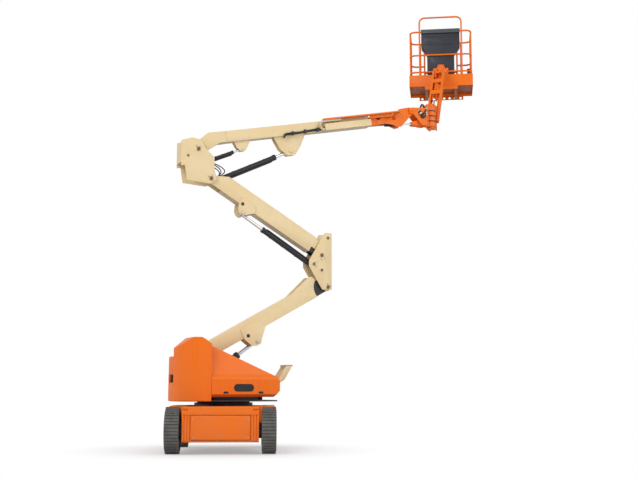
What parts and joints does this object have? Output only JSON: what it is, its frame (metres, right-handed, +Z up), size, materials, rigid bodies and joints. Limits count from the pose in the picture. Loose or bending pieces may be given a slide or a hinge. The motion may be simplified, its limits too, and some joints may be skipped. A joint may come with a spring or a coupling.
{
  "type": "articulating boom lift",
  "caption": "Battery-electric articulating boom lift with a two-boom tower, telescoping main boom, swinging jib and railed work platform.",
  "frame": {"origin": "on the floor under the slewing axis, midway between the axles", "axes": "+X to the machine's right seen from the drive end, +Y along the chassis from the drive axle to the steer axle, +Z up"},
  "size_m": [5.9334, 4.5937, 8.5751],
  "materials": {
    "orange_paint": "satin",
    "cream_paint": "satin",
    "dark_paint": "satin",
    "bright_steel": "polished",
    "tyre_rubber": "matte",
    "cover_shell": "satin",
    "ballast_iron": "satin",
    "dark_plastic": "matte",
    "chain_plastic": "matte"
  },
  "bodies": {
    "chassis": {"chassis_frame": "orange_paint", "end_cover": "orange_paint", "battery_blocks": "dark_plastic", "drive_hubs": "dark_paint", "steer_axle": "dark_paint", "slew_ring": "dark_paint"},
    "steer_left": {"knuckle_left": "dark_paint"},
    "steer_right": {"knuckle_right": "dark_paint"},
    "steer_link": {"tie_rod": "dark_paint"},
    "wheel_drive_left": {"tyre_drive_left": "tyre_rubber", "rim_drive_left": "orange_paint"},
    "wheel_drive_right": {"tyre_drive_right": "tyre_rubber", "rim_drive_right": "orange_paint"},
    "wheel_steer_left": {"tyre_steer_left": "tyre_rubber", "rim_steer_left": "orange_paint"},
    "wheel_steer_right": {"tyre_steer_right": "tyre_rubber", "rim_steer_right": "orange_paint"},
    "turntable": {"turntable_frame": "dark_paint", "counterweight": "ballast_iron", "tail_covers": "cover_shell", "power_units": "dark_plastic", "boom_rest": "cream_paint"},
    "near_door": {"near_hood": "cover_shell"},
    "far_door": {"far_hood": "cover_shell"},
    "lower_tower": {"lower_boom": "cream_paint", "lower_boot": "dark_plastic"},
    "lower_ram": {"lower_barrel": "dark_paint"},
    "lower_piston": {"lower_rod": "bright_steel"},
    "knuckle": {"tower_knuckle": "cream_paint"},
    "upper_tower": {"upper_boom": "cream_paint", "upper_boot": "dark_plastic"},
    "upper_ram": {"upper_barrel": "dark_paint"},
    "upper_piston": {"upper_rod": "bright_steel"},
    "tower_upright": {"upright": "cream_paint"},
    "main_ram": {"main_barrel": "dark_paint"},
    "main_piston": {"main_rod": "bright_steel"},
    "master_ram": {"master_barrel": "dark_paint"},
    "master_piston": {"master_rod": "bright_steel"},
    "main": {"main_boom": "cream_paint"},
    "chain": {"cable_chain": "chain_plastic"},
    "fly": {"fly_boom": "orange_paint"},
    "slave_ram": {"slave_barrel": "dark_paint"},
    "slave_piston": {"slave_rod": "bright_steel"},
    "bracket": {"level_bracket": "orange_paint", "swing_actuator": "dark_paint"},
    "yoke": {"jib_yoke": "orange_paint"},
    "jib": {"jib_arm": "orange_paint"},
    "jib_ram": {"jib_barrel": "dark_paint"},
    "jib_piston": {"jib_rod": "bright_steel"},
    "link": {"jib_link": "orange_paint"},
    "jib_head": {"platform_bracket": "orange_paint"},
    "platform": {"platform_floor": "orange_paint", "platform_rails": "orange_paint", "control_console": "dark_plastic"},
    "gate": {"drop_bar": "orange_paint"}
  },
  "joints": [
    {"name": "turntable_swing", "type": "hinge", "parent": "chassis", "child": "turntable", "pos_m": [0, 0, 0.8], "axis": [0, 0, 1], "range_deg": [-110, 250]},
    {"name": "tower_lift", "type": "hinge", "parent": "turntable", "child": "lower_tower", "pos_m": [-0.6108, -0.22231, 1.395], "axis": [0.342, -0.9397, 0], "range_deg": [-26, 40]},
    {"name": "knuckle_level", "type": "hinge", "parent": "lower_tower", "child": "knuckle", "pos_m": [1.75093, 0.63729, 2.8054], "axis": [0.342, -0.9397, 0], "range_deg": [-40.01, 26.01]},
    {"name": "upper_lift", "type": "hinge", "parent": "knuckle", "child": "upper_tower", "pos_m": [1.63817, 0.59625, 3.3704], "axis": [-0.342, 0.9397, 0], "range_deg": [-26.01, 40.01]},
    {"name": "upright_level", "type": "hinge", "parent": "upper_tower", "child": "tower_upright", "pos_m": [-0.30422, -0.11073, 4.58798], "axis": [-0.342, 0.9397, 0], "range_deg": [-40.01, 26.01]},
    {"name": "lower_ram_turn", "type": "hinge", "parent": "turntable", "child": "lower_ram", "pos_m": [-0.52623, -0.19153, 1.01], "axis": [0.342, -0.9397, 0], "range_deg": [-22.37, 34.41]},
    {"name": "lower_ram_stroke", "type": "slide", "parent": "lower_ram", "child": "lower_piston", "axis": [0.7613, 0.2771, 0.5862], "range_m": [-0.16159, 0.24834]},
    {"name": "upper_ram_turn", "type": "hinge", "parent": "knuckle", "child": "upper_ram", "pos_m": [1.4944, 0.54392, 3.2074], "axis": [0.342, -0.9397, 0], "range_deg": [-40.01, 26.01]},
    {"name": "upper_ram_stroke", "type": "slide", "parent": "upper_ram", "child": "upper_piston", "axis": [-0.7974, -0.2902, 0.5291], "range_m": [-0.09126, 0.14013]},
    {"name": "main_lift", "type": "hinge", "parent": "tower_upright", "child": "main", "pos_m": [-0.52505, -0.1911, 5.08699], "axis": [0.342, -0.9397, 0], "range_deg": [-9, 63]},
    {"name": "main_ram_turn", "type": "hinge", "parent": "tower_upright", "child": "main_ram", "pos_m": [-0.19425, -0.0707, 4.579], "axis": [0.342, -0.9397, 0], "range_deg": [-8.29, 57.97]},
    {"name": "main_ram_stroke", "type": "slide", "parent": "main_ram", "child": "main_piston", "axis": [0.8488, 0.3089, 0.429], "range_m": [-0.08768, 0.61075]},
    {"name": "master_ram_turn", "type": "hinge", "parent": "tower_upright", "child": "master_ram", "pos_m": [-0.31924, -0.11619, 4.928], "axis": [0.342, -0.9397, 0], "range_deg": [-9.19, 64.27]},
    {"name": "master_ram_stroke", "type": "slide", "parent": "master_ram", "child": "master_piston", "axis": [0.8633, 0.3142, 0.3949], "range_m": [-0.04056, 0.28089]},
    {"name": "telescope", "type": "slide", "parent": "main", "child": "fly", "axis": [0.9205, 0.335, 0.2011], "range_m": [0, 1.1]},
    {"name": "chain_run", "type": "slide", "parent": "main", "child": "chain", "axis": [0.9205, 0.335, 0.2011], "range_m": [-0.001, 0.551]},
    {"name": "slave_ram_turn", "type": "hinge", "parent": "fly", "child": "slave_ram", "pos_m": [2.85974, 1.04086, 5.93865], "axis": [0.342, -0.9397, 0], "range_deg": [-1.27, 8.83]},
    {"name": "slave_ram_stroke", "type": "slide", "parent": "slave_ram", "child": "slave_piston", "axis": [0.9341, 0.34, 0.1093], "range_m": [-0.22041, 0.03192]},
    {"name": "bracket_level", "type": "hinge", "parent": "fly", "child": "bracket", "pos_m": [3.40925, 1.24087, 6.23939], "axis": [0.342, -0.9397, 0], "range_deg": [-63.01, 9.01]},
    {"name": "jib_swing", "type": "hinge", "parent": "bracket", "child": "yoke", "pos_m": [3.8509, 1.40161, 6.14939], "axis": [0, 0, 1], "range_deg": [-134, 46]},
    {"name": "jib_lift", "type": "hinge", "parent": "yoke", "child": "jib", "pos_m": [3.90351, 1.50947, 6.14939], "axis": [0.8988, -0.4384, 0], "range_deg": [-125, 19]},
    {"name": "jib_ram_turn", "type": "hinge", "parent": "yoke", "child": "jib_ram", "pos_m": [3.89373, 1.53961, 6.02099], "axis": [0.8988, -0.4384, 0], "range_deg": [-120.01, 18.25]},
    {"name": "jib_ram_stroke", "type": "slide", "parent": "jib_ram", "child": "jib_piston", "axis": [0.1369, 0.2806, 0.95], "range_m": [-0.21867, 0.03366]},
    {"name": "link_turn", "type": "hinge", "parent": "yoke", "child": "link", "pos_m": [3.90351, 1.50947, 6.00939], "axis": [0.8988, -0.4384, 0], "range_deg": [-125.01, 19.01]},
    {"name": "head_level", "type": "hinge", "parent": "jib", "child": "jib_head", "pos_m": [4.13323, 1.98048, 7.27322], "axis": [0.8988, -0.4384, 0], "range_deg": [-19.01, 125.01]},
    {"name": "platform_turn", "type": "hinge", "parent": "jib_head", "child": "platform", "pos_m": [4.19241, 2.10182, 7.27322], "axis": [0, 0, 1], "range_deg": [-105.5, 74.5]},
    {"name": "gate_lift", "type": "slide", "parent": "platform", "child": "gate", "axis": [0, 0, 1], "range_m": [0, 0.5]},
    {"name": "steer", "type": "hinge", "parent": "chassis", "child": "steer_left", "pos_m": [-0.56, 1, 0.367], "axis": [0, 0, 1], "range_deg": [-35, 35]},
    {"name": "steer_follow", "type": "hinge", "parent": "chassis", "child": "steer_right", "pos_m": [0.56, 1, 0.367], "axis": [0, 0, 1], "range_deg": [-35.01, 35.01]},
    {"name": "tie_shift", "type": "slide", "parent": "chassis", "child": "steer_link", "axis": [1, 0, 0], "range_m": [-0.09213, 0.09213]},
    {"name": "wheel_drive_left_spin", "type": "hinge", "parent": "chassis", "child": "wheel_drive_left", "pos_m": [-0.76, -1, 0.3675], "axis": [1, 0, 0], "continuous": true},
    {"name": "wheel_drive_right_spin", "type": "hinge", "parent": "chassis", "child": "wheel_drive_right", "pos_m": [0.76, -1, 0.3675], "axis": [1, 0, 0], "continuous": true},
    {"name": "wheel_steer_left_spin", "type": "hinge", "parent": "steer_left", "child": "wheel_steer_left", "pos_m": [-0.76, 1, 0.3675], "axis": [1, 0, 0], "continuous": true},
    {"name": "wheel_steer_right_spin", "type": "hinge", "parent": "steer_right", "child": "wheel_steer_right", "pos_m": [0.76, 1, 0.3675], "axis": [1, 0, 0], "continuous": true},
    {"name": "near_door_open", "type": "hinge", "parent": "turntable", "child": "near_door", "pos_m": [0.08038, -0.22083, 1.5306], "axis": [-0.8542, -0.3109, 0.4167], "range_deg": [0, 60]},
    {"name": "far_door_open", "type": "hinge", "parent": "turntable", "child": "far_door", "pos_m": [-0.08038, 0.22083, 1.5306], "axis": [0.8542, 0.3109, -0.4167], "range_deg": [0, 60]}
  ],
  "couplings": [
    {"joint": "knuckle_level", "follows": "tower_lift", "ratio": -1},
    {"joint": "upper_lift", "follows": "tower_lift", "ratio": 1},
    {"joint": "upright_level", "follows": "tower_lift", "ratio": -1},
    {"joint": "lower_ram_turn", "follows": "tower_lift", "ratio": 0.86},
    {"joint": "lower_ram_stroke", "follows": "tower_lift", "m_per_rad": 0.355},
    {"joint": "upper_ram_turn", "follows": "tower_lift", "ratio": -1},
    {"joint": "upper_ram_stroke", "follows": "tower_lift", "m_per_rad": 0.2},
    {"joint": "main_ram_turn", "follows": "main_lift", "ratio": 0.92},
    {"joint": "main_ram_stroke", "follows": "main_lift", "m_per_rad": 0.555},
    {"joint": "master_ram_turn", "follows": "main_lift", "ratio": 1.02},
    {"joint": "master_ram_stroke", "follows": "main_lift", "m_per_rad": 0.255},
    {"joint": "chain_run", "follows": "telescope", "ratio": 0.5},
    {"joint": "slave_ram_turn", "follows": "main_lift", "ratio": 0.14},
    {"joint": "slave_ram_stroke", "follows": "main_lift", "m_per_rad": -0.2},
    {"joint": "bracket_level", "follows": "main_lift", "ratio": -1},
    {"joint": "jib_ram_turn", "follows": "jib_lift", "ratio": 0.96},
    {"joint": "jib_ram_stroke", "follows": "jib_lift", "m_per_rad": 0.1},
    {"joint": "link_turn", "follows": "jib_lift", "ratio": 1},
    {"joint": "head_level", "follows": "jib_lift", "ratio": -1},
    {"joint": "steer_follow", "follows": "steer", "ratio": 1},
    {"joint": "tie_shift", "follows": "steer", "m_per_rad": 0.15}
  ]
}
